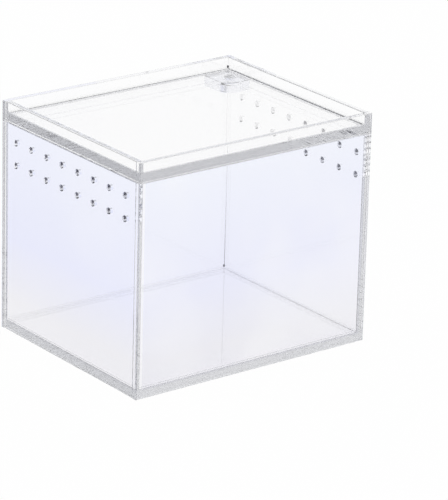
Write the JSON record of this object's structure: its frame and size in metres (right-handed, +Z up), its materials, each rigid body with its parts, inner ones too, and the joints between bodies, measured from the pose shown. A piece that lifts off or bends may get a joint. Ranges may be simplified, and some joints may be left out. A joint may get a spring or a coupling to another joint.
{
  "type": "reptile feeding box",
  "caption": "Clear acrylic feeding box for small reptiles: glued sheet walls, air holes in both side walls and a tray-topped lift-off lid with a corner magnet catch.",
  "frame": {"origin": "middle of the box's underside, on the surface that it stands on", "axes": "+X to the right along the wide front wall, +Y to the back wall, +Z up"},
  "size_m": [0.18, 0.148, 0.1534],
  "materials": {
    "clear_wall": "clear polished acrylic sheet",
    "clear_floor": "clear polished acrylic sheet",
    "clear_lid": "clear polished acrylic sheet",
    "clear_rim": "clear polished acrylic strip",
    "clear_block": "clear polished acrylic",
    "nickel": "bright nickel plate"
  },
  "bodies": {
    "box": {"floor_panel": "clear_floor", "front_panel": "clear_wall", "back_panel": "clear_wall", "left_panel": "clear_wall", "right_panel": "clear_wall", "corner_block": "clear_block", "box_magnet": "nickel"},
    "lid": {"lid_plate": "clear_lid", "lid_rim_front": "clear_rim", "lid_rim_back": "clear_rim", "lid_rim_left": "clear_rim", "lid_rim_right": "clear_rim", "lid_magnet": "nickel"}
  },
  "joints": [
    {"name": "lid_lift", "type": "slide", "parent": "box", "child": "lid", "axis": [0, 0, 1], "range_m": [0, 0.12]}
  ]
}
